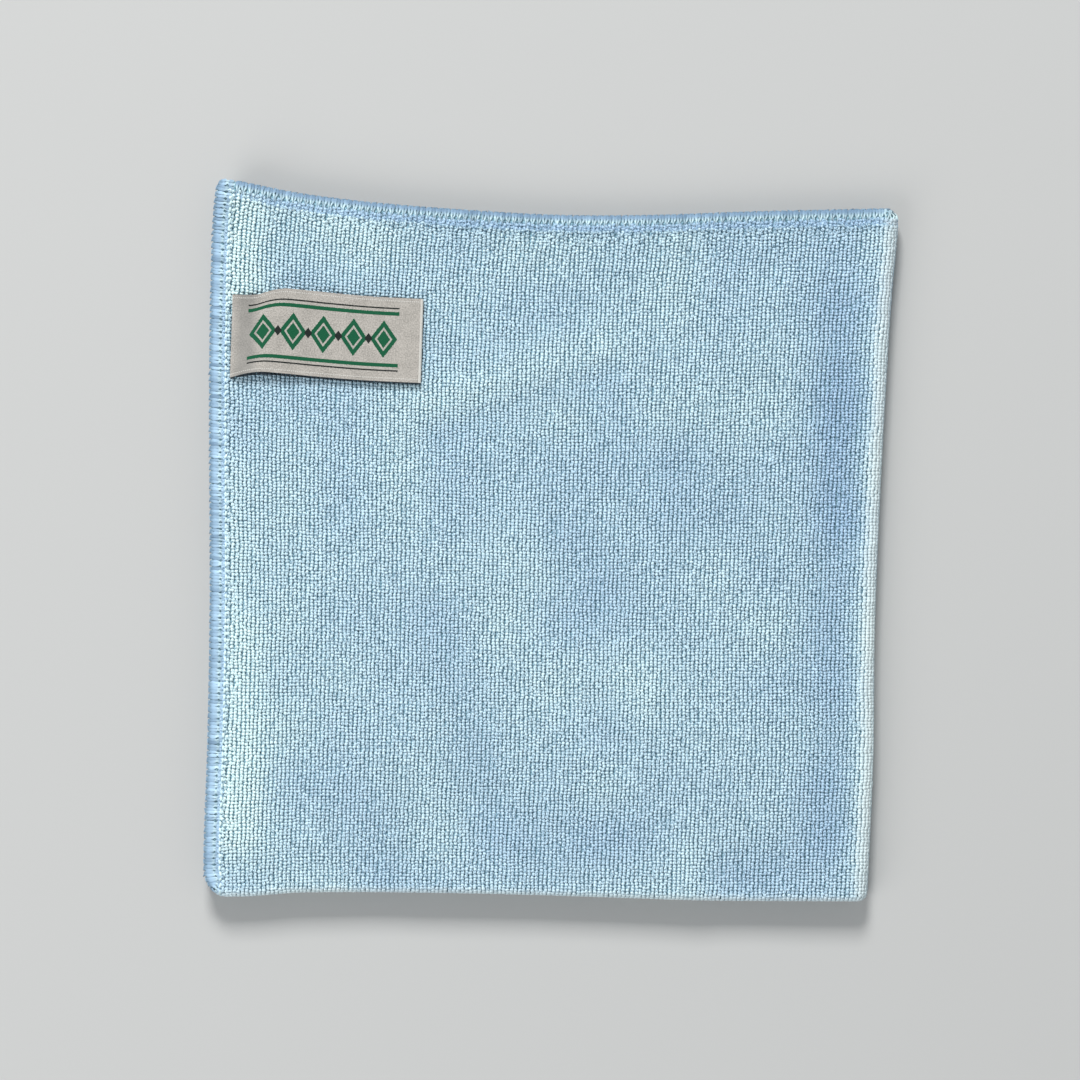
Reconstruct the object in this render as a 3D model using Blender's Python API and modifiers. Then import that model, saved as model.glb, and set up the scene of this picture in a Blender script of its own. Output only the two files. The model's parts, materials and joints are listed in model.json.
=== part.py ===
"""A microfibre cleaning cloth, folded in quarters, with a ribbon label sewn into one hem.

Units are metres, +Z is up and the cloth lies on Z = 0. The origin is the middle of its footprint.
The two free hems are at -X and +Y. The first fold runs along -Y, the second along +X.
"""
import math
from collections import namedtuple

import bmesh
import bpy
from mathutils import Vector

MM = 0.001

# The cloth as cut, and its thickness with the pile
CUT_WIDTH = 400.0 * MM
CUT_LENGTH = 406.0 * MM
SHEET_THICKNESS = 1.6 * MM
HEM_WIDTH = 5.0 * MM

# First fold: middle of the sheet. Second fold: middle of the two layers that it bends.
FIRST_FOLD_RADIUS = 1.25 * MM
SECOND_FOLD_RADIUS = 2.5 * MM

# Cells of the sheet, in half of its width or length
HEM_CELLS = 3
OPEN_CELLS = 17
FOLD_CELLS = 4

# The woven label
LABEL_LENGTH = 57.2 * MM
LABEL_WIDTH = 25.0 * MM
LABEL_THICKNESS = 1.0 * MM
LABEL_ROOT = Vector((-95.9, 61.0)) * MM
LABEL_TURN = math.radians(-1.8)
LABEL_CLEARANCE = 0.4 * MM
LABEL_CELLS = (24, 8)

# The outline of the folded cloth, seen from above: the share along the edge, from the bottom
# or from the left, and the edge's distance from the origin in millimetres.
EdgePoint = namedtuple("EdgePoint", "share distance")
LEFT_HEM = (
    EdgePoint(0.00, -104.0),
    EdgePoint(0.07, -103.9),
    EdgePoint(0.22, -102.8),
    EdgePoint(0.42, -102.1),
    EdgePoint(0.72, -102.3),
    EdgePoint(0.90, -101.6),
    EdgePoint(0.96, -100.8),
    EdgePoint(1.00, -99.6),
)
RIGHT_FOLD = (
    EdgePoint(0.00, 94.4),
    EdgePoint(0.12, 95.6),
    EdgePoint(0.22, 96.4),
    EdgePoint(0.38, 96.7),
    EdgePoint(0.57, 98.2),
    EdgePoint(0.76, 100.3),
    EdgePoint(0.88, 101.9),
    EdgePoint(0.95, 103.3),
    EdgePoint(1.00, 104.0),
)
BOTTOM_FOLD = (
    EdgePoint(0.00, -106.4),
    EdgePoint(0.07, -106.2),
    EdgePoint(0.15, -105.1),
    EdgePoint(0.40, -105.4),
    EdgePoint(0.60, -106.5),
    EdgePoint(0.76, -107.5),
    EdgePoint(1.00, -107.8),
)
TOP_HEM = (
    EdgePoint(0.00, 108.3),
    EdgePoint(0.04, 106.9),
    EdgePoint(0.12, 103.8),
    EdgePoint(0.22, 101.2),
    EdgePoint(0.36, 98.9),
    EdgePoint(0.50, 97.3),
    EdgePoint(0.64, 97.3),
    EdgePoint(0.78, 98.3),
    EdgePoint(1.00, 99.3),
)

# Roundness of the corners, seen from above
CORNER_RADIUS = {
    ("left", "top"): 3.0 * MM,
    ("left", "bottom"): 7.0 * MM,
    ("right", "top"): 3.5 * MM,
    ("right", "bottom"): 1.5 * MM,
}

# How far the free corner of each layer lies inside the top one, in millimetres. The key says
# whether the layer is the left half and the far half of the cut cloth.
SetBack = namedtuple("SetBack", "at_left_hem at_top_hem")
SET_BACK = {
    (True, True): SetBack(0.0, 0.0),
    (True, False): SetBack(0.9, 1.3),
    (False, False): SetBack(1.7, 0.7),
    (False, True): SetBack(0.5, 1.9),
}

# Soft ridges and troughs of the top, each along a straight line, in millimetres
Ridge = namedtuple("Ridge", "start end half_width height")
RELIEF = (
    Ridge((86, 68), (85, -88), 10, -0.8),
    Ridge((88, 48), (88, 8), 9, -0.5),
    Ridge((96, 90), (92, -95), 6, 0.6),
    Ridge((-92, 102), (-93, 78), 8, 1.1),
    Ridge((-94, 20), (-94, -20), 7, 0.6),
    Ridge((-93, -30), (-93, -54), 8, 1.2),
    Ridge((-93, -68), (-94, -88), 9, 1.3),
    Ridge((-64, 94), (-55, 90), 10, 0.6),
    Ridge((-53, -82), (-53, -96), 12, -0.5),
    Ridge((-3, -92), (20, -86), 12, -0.4),
    Ridge((50, -99), (64, -97), 9, -0.6),
    Ridge((-24, -66), (-20, -78), 12, -0.4),
    Ridge((40, 24), (52, 10), 13, -0.5),
    Ridge((5, -6), (12, -16), 12, -0.5),
    Ridge((-34, 42), (16, 58), 7, 0.45),
    Ridge((-34, 32), (16, 49), 6, -0.35),
    Ridge((-36, -22), (-18, -72), 9, -0.35),
    Ridge((24, -40), (27, -48), 9, 0.45),
    Ridge((-10, -2), (-6, -8), 10, 0.4),
    Ridge((42, -96), (43, -103), 7, 0.5),
    Ridge((-100, 107), (-99, 106), 9, 2.0),
)

# The label's middle along its length: its rise over the cloth and its sway out of line, in
# millimetres. Its lower edge leaves the hem sooner than its upper edge, by a share of its length.
LabelPoint = namedtuple("LabelPoint", "share rise sway")
LABEL_COURSE = (
    LabelPoint(0.00, 0.0, 0.0),
    LabelPoint(0.07, 0.3, 0.2),
    LabelPoint(0.155, 1.1, 1.6),
    LabelPoint(0.225, 1.5, 2.2),
    LabelPoint(0.32, 1.3, 2.0),
    LabelPoint(0.48, 0.7, 1.4),
    LabelPoint(0.72, 0.4, 0.7),
    LabelPoint(1.00, 0.4, 0.4),
)
LABEL_EDGE_LEAD = 0.075

PART_COLLECTION = "microfibre_cloth"


def clear_scene():
    for old in list(bpy.data.objects):
        bpy.data.objects.remove(old, do_unlink=True)


def part_collection():
    collection = bpy.data.collections.new(PART_COLLECTION)
    bpy.context.scene.collection.children.link(collection)
    return collection


def blend(low, high, share):
    return low + (high - low) * share


def curve_value(rows, share, column):
    """Read one column of a table of rows at share, on a smooth curve through the rows."""
    share = min(max(share, rows[0].share), rows[-1].share)
    index = 0
    while index < len(rows) - 2 and share > rows[index + 1].share:
        index += 1
    nearby = rows[max(index - 1, 0)], rows[index], rows[index + 1], rows[min(index + 2, len(rows) - 1)]
    before, start, end, after = ((row.share, getattr(row, column)) for row in nearby)
    span = end[0] - start[0]
    slope_in = (end[1] - before[1]) / (end[0] - before[0])
    slope_out = (after[1] - start[1]) / (after[0] - start[0])
    t = (share - start[0]) / span
    return (
        start[1] * (2 * t**3 - 3 * t**2 + 1)
        + slope_in * span * (t**3 - 2 * t**2 + t)
        + end[1] * (3 * t**2 - 2 * t**3)
        + slope_out * span * (t**3 - t**2)
    )


def hairpin(distance, offset, radius):
    """Bend a strip back on itself.

    distance runs along the strip from the middle of the fold and offset stands out of it.
    Returns how far the point reaches past the fold's centre, and its height.
    """
    quarter = math.pi * radius / 2
    if abs(distance) <= quarter:
        angle = distance / radius
        return (radius + offset) * math.cos(angle), (radius + offset) * math.sin(angle)
    side = math.copysign(1.0, distance)
    return quarter - abs(distance), side * (radius + offset)


def half_lines(half_size, fold_quarter):
    """Distances of the grid's lines from the fold, close together in the fold and in the hem."""
    hem_start = half_size - HEM_WIDTH
    lines = [fold_quarter * i / FOLD_CELLS for i in range(FOLD_CELLS)]
    lines += [blend(fold_quarter, hem_start, i / OPEN_CELLS) for i in range(OPEN_CELLS)]
    lines += [blend(hem_start, half_size, i / HEM_CELLS) for i in range(HEM_CELLS + 1)]
    return lines


def full_lines(half_size, fold_quarter):
    lines = half_lines(half_size, fold_quarter)
    return [-line for line in reversed(lines[1:])] + lines


def grid_mesh(name, cells, place):
    """A flat grid of cells[0] x cells[1], each point of which is moved to place(column, row)."""
    bm = bmesh.new()
    bmesh.ops.create_grid(bm, x_segments=cells[0], y_segments=cells[1], size=1.0)
    for vertex in bm.verts:
        column = round((vertex.co.x + 1) / 2 * cells[0])
        row = round((vertex.co.y + 1) / 2 * cells[1])
        vertex.co = place(column, row)
    mesh = bpy.data.meshes.new(name)
    bm.to_mesh(mesh)
    bm.free()
    return mesh


def round_corner(from_side, from_end, radius):
    """Pull a point of a square corner onto a quarter disc. Both distances run from the edges."""
    if from_side >= radius or from_end >= radius:
        return from_side, from_end
    inward = Vector((radius - from_side, radius - from_end))
    inward *= max(inward) / inward.length
    return radius - inward.x, radius - inward.y


def relief_height(x, y):
    """Height of the ridges and troughs of the top at a place."""
    place = Vector((x, y))
    height = 0.0
    for ridge in RELIEF:
        start, end = Vector(ridge.start) * MM, Vector(ridge.end) * MM
        along = (place - start).dot(end - start) / (end - start).length_squared
        nearest = start.lerp(end, min(max(along, 0.0), 1.0))
        fading = (place - nearest).length / (ridge.half_width * MM)
        height += ridge.height * MM * math.exp(-(fading**2))
    return height


class FoldedSheet:
    """The cut cloth, folded along its length and then along its width."""

    first_quarter = math.pi * FIRST_FOLD_RADIUS / 2
    second_quarter = math.pi * SECOND_FOLD_RADIUS / 2
    left = second_quarter - CUT_WIDTH / 2
    right = SECOND_FOLD_RADIUS + FIRST_FOLD_RADIUS
    bottom = -FIRST_FOLD_RADIUS
    top = CUT_LENGTH / 2 - first_quarter
    stack = 2 * (FIRST_FOLD_RADIUS + SECOND_FOLD_RADIUS)

    def folded(self, across, along):
        """Place of a point of the cut cloth in the even, square stack. The underside is at 0."""
        reach, offset = hairpin(along, 0.0, FIRST_FOLD_RADIUS)
        y = -reach
        x, z = hairpin(-across, offset, SECOND_FOLD_RADIUS)
        return x, y, z + self.stack / 2

    def rounded(self, x, y):
        for (side, end), radius in CORNER_RADIUS.items():
            from_side = x - self.left if side == "left" else self.right - x
            from_end = y - self.bottom if end == "bottom" else self.top - y
            from_side, from_end = round_corner(from_side, from_end, radius)
            x = self.left + from_side if side == "left" else self.right - from_side
            y = self.bottom + from_end if end == "bottom" else self.top - from_end
        return x, y

    def outlined(self, x, y):
        """Move a point of the square stack to its place in the real, uneven outline."""
        across = (x - self.left) / (self.right - self.left)
        along = (y - self.bottom) / (self.top - self.bottom)
        left = curve_value(LEFT_HEM, along, "distance") * MM
        right = curve_value(RIGHT_FOLD, along, "distance") * MM - SHEET_THICKNESS / 2
        bottom = curve_value(BOTTOM_FOLD, across, "distance") * MM + SHEET_THICKNESS / 2
        top = curve_value(TOP_HEM, across, "distance") * MM
        return blend(left, right, across), blend(bottom, top, along), across, along

    def point(self, across, along):
        """Middle of the sheet at a point of the cut cloth, in the folded cloth."""
        x, y, z = self.folded(across, along)
        x, y = self.rounded(x, y)
        x, y, share_x, share_y = self.outlined(x, y)
        set_back = SET_BACK[across < 0, along > 0]
        free_corner = (1 - share_x) * share_y
        x += set_back.at_left_hem * MM * free_corner
        y -= set_back.at_top_hem * MM * free_corner
        z += relief_height(x, y) * z / self.stack
        return Vector((x, y, z + SHEET_THICKNESS / 2))


def build_cloth(collection):
    sheet = FoldedSheet()
    across = full_lines(CUT_WIDTH / 2, sheet.second_quarter)
    along = full_lines(CUT_LENGTH / 2, sheet.first_quarter)
    cells = (len(across) - 1, len(along) - 1)
    mesh = grid_mesh("cloth", cells, lambda column, row: sheet.point(across[column], along[row]))
    return shell_object(collection, mesh, SHEET_THICKNESS)


def top_of_cloth(x, y):
    return FoldedSheet.stack + SHEET_THICKNESS + relief_height(x, y)


def label_point(share, side):
    """Middle of the label at a share of its length and, from -1 to 1, across its width."""
    direction = Vector((math.cos(LABEL_TURN), math.sin(LABEL_TURN)))
    sideways = Vector((-direction.y, direction.x))
    course = share - LABEL_EDGE_LEAD * side * (1 - share)
    sway = curve_value(LABEL_COURSE, course, "sway") * MM
    rise = curve_value(LABEL_COURSE, course, "rise") * MM
    spot = LABEL_ROOT + direction * LABEL_LENGTH * share + sideways * (side * LABEL_WIDTH / 2 + sway)
    base = top_of_cloth(spot.x, spot.y) + LABEL_CLEARANCE + LABEL_THICKNESS / 2
    return Vector((spot.x, spot.y, base + rise))


def build_label(collection):
    length_cells, width_cells = LABEL_CELLS
    mesh = grid_mesh(
        "label",
        LABEL_CELLS,
        lambda column, row: label_point(column / length_cells, 2 * row / width_cells - 1),
    )
    return shell_object(collection, mesh, LABEL_THICKNESS)


def shell_object(collection, mesh, thickness):
    """An object whose open surface is given its thickness, half to each side."""
    shell = bpy.data.objects.new(mesh.name, mesh)
    collection.objects.link(shell)
    solidify = shell.modifiers.new("thickness", "SOLIDIFY")
    solidify.thickness = thickness
    solidify.offset = 0.0
    solidify.use_even_offset = True
    return shell


def give_material(shell, name, colour, roughness):
    material = bpy.data.materials.new(name)
    material.use_nodes = True
    shader = material.node_tree.nodes["Principled BSDF"]
    shader.inputs["Base Color"].default_value = (*colour, 1.0)
    shader.inputs["Roughness"].default_value = roughness
    shader.inputs["Metallic"].default_value = 0.0
    material.diffuse_color = (*colour, 1.0)
    shell.data.materials.append(material)


def main():
    clear_scene()
    collection = part_collection()
    give_material(build_cloth(collection), "light_blue_terry", (0.40, 0.56, 0.68), 0.95)
    give_material(build_label(collection), "off_white_satin", (0.62, 0.58, 0.55), 0.45)


main()
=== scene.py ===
"""Looks of the microfibre cloth: terry pile, overlocked hem and woven label, laid out flat for the camera.

Units are metres and +Z is up. A place on the cloth is given in the flat, cut cloth: across from its
second fold, along from its first fold, and lift from the middle of its thickness.
"""
import json
import math
from collections import namedtuple

import bpy
import numpy as np
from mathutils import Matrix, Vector

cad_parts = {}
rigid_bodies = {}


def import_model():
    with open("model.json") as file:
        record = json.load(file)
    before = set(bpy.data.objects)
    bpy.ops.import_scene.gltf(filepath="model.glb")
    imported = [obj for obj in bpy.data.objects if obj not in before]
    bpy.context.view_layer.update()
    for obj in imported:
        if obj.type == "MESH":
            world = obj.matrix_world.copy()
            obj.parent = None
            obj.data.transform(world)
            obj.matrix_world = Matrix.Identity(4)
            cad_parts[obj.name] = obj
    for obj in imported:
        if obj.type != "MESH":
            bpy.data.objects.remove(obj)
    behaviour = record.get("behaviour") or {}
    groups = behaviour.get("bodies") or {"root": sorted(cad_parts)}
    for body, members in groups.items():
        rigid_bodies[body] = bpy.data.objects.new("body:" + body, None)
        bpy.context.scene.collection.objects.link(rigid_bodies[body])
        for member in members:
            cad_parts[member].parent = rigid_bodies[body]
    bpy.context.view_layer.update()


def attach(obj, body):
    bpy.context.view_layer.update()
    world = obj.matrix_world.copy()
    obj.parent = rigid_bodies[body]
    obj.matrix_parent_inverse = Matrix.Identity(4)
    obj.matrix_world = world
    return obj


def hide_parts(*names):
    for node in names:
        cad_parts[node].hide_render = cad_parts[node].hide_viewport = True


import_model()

MM = 0.001
BODY = "root"
FLOOR_SIZE = 4.0
FLOOR_DROP = 0.2 * MM


def table(row, *values):
    """A table of rows of one kind."""
    return tuple(row(*value) for value in values)


# The cloth as cut
CUT_WIDTH = 400.0 * MM
CUT_LENGTH = 406.0 * MM
HALF_WIDTH = CUT_WIDTH / 2
HALF_LENGTH = CUT_LENGTH / 2
SHEET_THICKNESS = 1.6 * MM
HEM_WIDTH = 5.0 * MM
FIRST_FOLD_RADIUS = 1.25 * MM
SECOND_FOLD_RADIUS = 2.5 * MM

# The knitted ground that carries the pile
GROUND_LIFT = 0.28 * MM
GROUND_THICKNESS = 0.9 * MM
GROUND_INSET = 0.35 * MM
GROUND_HEM_CELLS = 4
GROUND_OPEN_CELLS = 62
GROUND_FOLD_CELLS = 8

# The pile: one loop in each wale (upright row) and course (row across)
WALE_PITCH = 1.25 * MM
COURSE_PITCH = 0.94 * MM
LOOP_WIDTH = 0.77 * WALE_PITCH
LOOP_LENGTH = 1.38 * COURSE_PITCH
LOOP_HEIGHT = 0.66 * MM
LOOP_BEND = 0.11
LOOP_FOOT = 0.12 * MM
PILE_LIFT = 0.42 * MM
PILE_INSET = 4.2 * MM
PILE_END_INSET = 3.0 * MM
PILE_STRIPS = 4
PILE_SEED = 41
LOOP_FOOT_SHADE = 0.35

# Soft random waves in the pile's lines, turns and colour
Wave = namedtuple("Wave", "size height seed")
WALE_SWAY = Wave(5.0 * MM, 0.13 * MM, 11)
COURSE_SWAY = Wave(4.0 * MM, 0.12 * MM, 12)
LOOP_TURN = Wave(2.6 * MM, 0.20, 13)
LOOP_FALL = Wave(2.2 * MM, 1.0, 14)
WALE_CRINKLE = Wave(1.7 * MM, 0.08 * MM, 15)
# Random patches of bluer pile: painted shade of the cloth's unevenness
BLUE_SHADE_PATCHES = Wave(16.0 * MM, 0.20, 16)
WALE_WIGGLE = Wave(1.9 * MM, 0.05 * MM, 17)
LOOP_HAND = Wave(COURSE_PITCH, 1.0, 18)
WALE_SLIP = Wave(1.9 * MM, 1.0 * MM, 19)

# How far the hem disturbs the pile beside it: ruffled loops all round, and by the end hems also
# slipped wales, a soft shade, and a deep one on the first loops, which is weaker at the left
RUFFLE_REACH = 6.0 * MM
SLIP_REACH = 12.0 * MM
END_HEM_SHADE_REACH = 16.0 * MM
FIRST_LOOPS_SHADE = np.array((0.2, 2.4)) * MM
WEAK_SHADE_ENDS = (-168.0 * MM, -128.0 * MM)

# Painted shade: the pile in the corner between the top hem and the right fold is bluer
SHADED_CORNER = (-8.0 * MM, 188.0 * MM)
SHADED_CORNER_REACH = (20.0 * MM, 34.0 * MM)

# Brightness and blueness of the pile, and what its relief, in millimetres, and its zones add. The
# relief adds painted light and shade: loops lighter on ridges, darker and bluer in troughs.
PILE_TONE = 0.775
PILE_BLUE = 0.46
Shade = namedtuple("Shade", "zone tone cool")
PILE_SHADES = table(
    Shade,
    ("relief", 0.12, -0.45),
    ("folded_sheen", 0.10, 0.0),
    ("ruffled", 0.02, -0.03),
    ("stitched", -0.12, 0.90),
    ("stitched_end", 0.0, -0.25),
    ("needle_hole_shade", -0.45, 0.0),
    ("near_end_hem", -0.10, 0.0),
    ("beside_end_hem", -0.22, 0.0),
    ("corner_shade", 0.0, 0.38),
)

# The overlocked hem
STITCH_PITCH = 1.8 * MM
STITCH_SEED = 43
STITCH_FOOT_SHADE = 0.6
THREAD_SIZE = (0.82 * MM, 0.34 * MM)
NEEDLE_INSET = 4.75 * MM
HOLE_INSET = 5.5 * MM
SIDE_EDGES = ("left", "right")
END_EDGES = ("top", "bottom")

# Where the copies of a thread lie on the baked map: cells in rows of so many columns
MapArea = namedtuple("MapArea", "columns corner size")
STRAND_AREA = MapArea(46, (0.01, 0.01), (0.98, 0.73))
NEEDLE_AREA = MapArea(16, (0.01, 0.76), (0.47, 0.23))
KNOT_AREA = MapArea(16, (0.51, 0.76), (0.47, 0.23))

# Straight chains of stitches along an edge: how far in and how high they lie, their width and
# height, their brightness and their share of blue
Chain = namedtuple("Chain", "inset lift width height tone blue area")
SIDE_NEEDLE = Chain(NEEDLE_INSET, 0.26 * MM, 0.62 * MM, 0.52 * MM, 0.95, 0.0, NEEDLE_AREA)
END_NEEDLE = Chain(NEEDLE_INSET, 0.10 * MM, 0.62 * MM, 0.52 * MM, 0.80, 0.8, NEEDLE_AREA)
# The knots' low brightness is painted shade along the cut edge
KNOTS = Chain(0.05 * MM, -0.30 * MM, 0.55 * MM, 0.60 * MM, 0.34, 0.6, KNOT_AREA)

# The woven label, a ribbon folded back on itself
LABEL_LENGTH = 57.2 * MM
LABEL_WIDTH = 25.0 * MM
LABEL_THICKNESS = 1.0 * MM
LABEL_ROOT = Vector((-95.9, 61.0)) * MM
LABEL_TURN = math.radians(-1.8)
LABEL_DIRECTION = np.array((math.cos(LABEL_TURN), math.sin(LABEL_TURN)))
LABEL_CLEARANCE = 0.4 * MM
RIBBON_THICKNESS = 0.34 * MM
RIBBON_FOLD_RADIUS = 0.27 * MM
LABEL_CELLS = (120, 20)
LABEL_TUCK = 0.95 * MM

# The outline of the folded cloth, seen from above: the share along the edge, from the bottom
# or from the left, and the edge's distance from the origin in millimetres.
EdgePoint = namedtuple("EdgePoint", "share distance")
LEFT_HEM = table(
    EdgePoint,
    (0.00, -104.0), (0.07, -103.9), (0.22, -102.8), (0.42, -102.1), (0.72, -102.3),
    (0.90, -101.6), (0.96, -100.8), (1.00, -99.6),
)
RIGHT_FOLD = table(
    EdgePoint,
    (0.00, 94.4), (0.12, 95.6), (0.22, 96.4), (0.38, 96.7), (0.57, 98.2),
    (0.76, 100.3), (0.88, 101.9), (0.95, 103.3), (1.00, 104.0),
)
BOTTOM_FOLD = table(
    EdgePoint,
    (0.00, -106.4), (0.07, -106.2), (0.15, -105.1), (0.40, -105.4), (0.60, -106.5),
    (0.76, -107.5), (1.00, -107.8),
)
TOP_HEM = table(
    EdgePoint,
    (0.00, 108.3), (0.04, 106.9), (0.12, 103.8), (0.22, 101.2), (0.36, 98.9),
    (0.50, 97.3), (0.64, 97.3), (0.78, 98.3), (1.00, 99.3),
)

# Roundness of the corners, seen from above
CORNER_RADIUS = {
    ("left", "top"): 3.0 * MM,
    ("left", "bottom"): 7.0 * MM,
    ("right", "top"): 3.5 * MM,
    ("right", "bottom"): 1.5 * MM,
}

# How far the free corner of each layer lies inside the top one, in millimetres. The key says
# whether the layer is the left half and the far half of the cut cloth.
SetBack = namedtuple("SetBack", "at_left_hem at_top_hem")
SET_BACK = {
    (True, True): SetBack(0.0, 0.0),
    (True, False): SetBack(0.9, 1.3),
    (False, False): SetBack(1.7, 0.7),
    (False, True): SetBack(0.5, 1.9),
}

# Soft ridges and troughs of the top, each along a straight line, in millimetres
Ridge = namedtuple("Ridge", "start end half_width height")
RELIEF = table(
    Ridge,
    ((86, 68), (85, -88), 10, -0.8),
    ((88, 48), (88, 8), 9, -0.5),
    ((96, 90), (92, -95), 6, 0.6),
    ((-92, 102), (-93, 78), 8, 1.1),
    ((-94, 20), (-94, -20), 7, 0.6),
    ((-93, -30), (-93, -54), 8, 1.2),
    ((-93, -68), (-94, -88), 9, 1.3),
    ((-64, 94), (-55, 90), 10, 0.6),
    ((-53, -82), (-53, -96), 12, -0.5),
    ((-3, -92), (20, -86), 12, -0.4),
    ((50, -99), (64, -97), 9, -0.6),
    ((-24, -66), (-20, -78), 12, -0.4),
    ((40, 24), (52, 10), 13, -0.5),
    ((5, -6), (12, -16), 12, -0.5),
    ((-34, 42), (16, 58), 7, 0.45),
    ((-34, 32), (16, 49), 6, -0.35),
    ((-36, -22), (-18, -72), 9, -0.35),
    ((24, -40), (27, -48), 9, 0.45),
    ((-10, -2), (-6, -8), 10, 0.4),
    ((42, -96), (43, -103), 7, 0.5),
    ((-100, 107), (-99, 106), 9, 2.0),
)

# The label's middle along its length: its rise over the cloth and its sway out of line, in
# millimetres. Its lower edge leaves the hem sooner than its upper edge, by a share of its length.
LabelPoint = namedtuple("LabelPoint", "share rise sway")
LABEL_COURSE = table(
    LabelPoint,
    (0.00, 0.0, 0.0),
    (0.07, 0.3, 0.2),
    (0.155, 1.1, 1.6),
    (0.225, 1.5, 2.2),
    (0.32, 1.3, 2.0),
    (0.48, 0.7, 1.4),
    (0.72, 0.4, 0.7),
    (1.00, 0.4, 0.4),
)
LABEL_EDGE_LEAD = 0.075

# The narrow shade in the pile along the label: its depth at rest, and how much deeper it is for
# each millimetre that the label stands up there. Past SHADE_LIMIT depths there is none.
EdgeShade = namedtuple("EdgeShade", "side depth deepening")
LABEL_EDGE_SHADES = table(
    EdgeShade,
    (-1, 0.33, 0.26),
    (1, 0.20, 0.0),
)
LABEL_FOLD_SHADE = 0.22 * MM
SHADE_LIMIT = 9.0

# The course of one looper strand round the hem, from the needle line on the face, over the
# edge and back to the needle line underneath. inset runs from the edge, core is the inset of the
# point that it bends round, spread is half of the gap between a stitch's two strands, and width
# is the strand's own. tone and blue are its brightness and its share of blue there.
# The low tone where a strand turns over the cut edge is painted shade
StrandPoint = namedtuple("StrandPoint", "inset lift core spread width tone blue")
STRAND_UNDERNEATH = table(
    StrandPoint,
    (0.00, -0.10, 0.60, 0.30, 0.75, 0.30, 0.90),
    (0.45, -0.58, 0.50, 0.40, 0.90, 0.75, 1.00),
    (2.40, -0.58, 2.40, 0.30, 0.80, 0.90, 0.60),
    (4.90, -0.45, 4.90, 0.20, 0.50, 0.90, 0.30),
)
SIDE_STRANDS = table(
    StrandPoint,
    (5.15, 0.20, 5.15, 0.34, 0.60, 0.80, 0.30),
    (4.60, 0.46, 4.60, 0.42, 0.90, 0.76, 0.60),
    (3.80, 0.52, 3.80, 0.44, 0.98, 0.66, 0.80),
    (3.30, 0.46, 3.30, 0.27, 0.60, 0.76, 0.35),
    (3.00, 0.48, 3.00, 0.27, 0.60, 0.84, 0.30),
    (2.55, 0.54, 2.55, 0.44, 0.90, 0.78, 0.70),
    (1.50, 0.58, 1.50, 0.45, 1.02, 0.78, 0.90),
    (1.05, 0.54, 1.05, 0.45, 1.00, 0.62, 0.90),
    (0.60, 0.44, 0.75, 0.38, 0.84, 0.34, 0.70),
    (0.15, 0.22, 0.65, 0.30, 0.78, 0.20, 0.70),
    *STRAND_UNDERNEATH,
)
END_STRANDS = table(
    StrandPoint,
    (5.15, 0.10, 5.15, 0.34, 0.60, 0.74, 0.60),
    (4.60, 0.20, 4.60, 0.42, 0.86, 0.80, 0.90),
    (3.80, 0.26, 3.80, 0.42, 0.84, 0.80, 0.85),
    (3.10, 0.40, 3.10, 0.24, 0.44, 0.66, 0.60),
    (2.60, 0.48, 2.60, 0.20, 0.42, 0.80, 0.35),
    (1.90, 0.56, 1.90, 0.38, 0.56, 0.88, 0.30),
    (1.30, 0.54, 1.30, 0.48, 0.68, 0.58, 0.60),
    (0.80, 0.48, 0.80, 0.45, 0.92, 0.42, 0.90),
    (0.40, 0.36, 0.70, 0.45, 0.92, 0.34, 0.90),
    (0.15, 0.20, 0.65, 0.42, 0.86, 0.26, 0.90),
    *STRAND_UNDERNEATH,
)


# ---------------------------------------------------------------- the folded shape

def blend(low, high, share):
    return low + (high - low) * share


def smooth_step(value, start, end):
    share = np.clip((value - start) / (end - start), 0.0, 1.0)
    return share * share * (3 - 2 * share)


def unit(vectors):
    return vectors / np.linalg.norm(vectors, axis=-1, keepdims=True)


def curve_value(rows, share, column):
    """Read one column of a table of rows at share, on a smooth curve through the rows."""
    shares = np.array([row.share for row in rows])
    values = np.array([getattr(row, column) for row in rows])
    before = np.maximum(np.arange(len(rows)) - 1, 0)
    after = np.minimum(np.arange(len(rows)) + 1, len(rows) - 1)
    slopes = (values[after] - values[before]) / (shares[after] - shares[before])
    share = np.clip(share, shares[0], shares[-1])
    index = np.clip(np.searchsorted(shares, share, side="right") - 1, 0, len(rows) - 2)
    span = shares[index + 1] - shares[index]
    t = (share - shares[index]) / span
    return (
        values[index] * (2 * t**3 - 3 * t**2 + 1)
        + slopes[index] * span * (t**3 - 2 * t**2 + t)
        + values[index + 1] * (3 * t**2 - 2 * t**3)
        + slopes[index + 1] * span * (t**3 - t**2)
    )


def hairpin(distance, offset, radius):
    """Bend a strip back on itself: how far a point reaches past the fold's centre, and its height."""
    angle = np.clip(distance / radius, -math.pi / 2, math.pi / 2)
    past_fold = np.maximum(np.abs(distance) - math.pi * radius / 2, 0.0)
    return (radius + offset) * np.cos(angle) - past_fold, (radius + offset) * np.sin(angle)


def relief_height(x, y):
    """Height of the ridges and troughs of the top at a place."""
    height = np.zeros_like(x)
    for ridge in RELIEF:
        start = np.array(ridge.start) * MM
        run = np.array(ridge.end) * MM - start
        along = ((x - start[0]) * run[0] + (y - start[1]) * run[1]) / (run @ run)
        along = np.clip(along, 0.0, 1.0)
        away = np.hypot(x - start[0] - along * run[0], y - start[1] - along * run[1])
        height += ridge.height * MM * np.exp(-((away / (ridge.half_width * MM)) ** 2))
    return height


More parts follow.
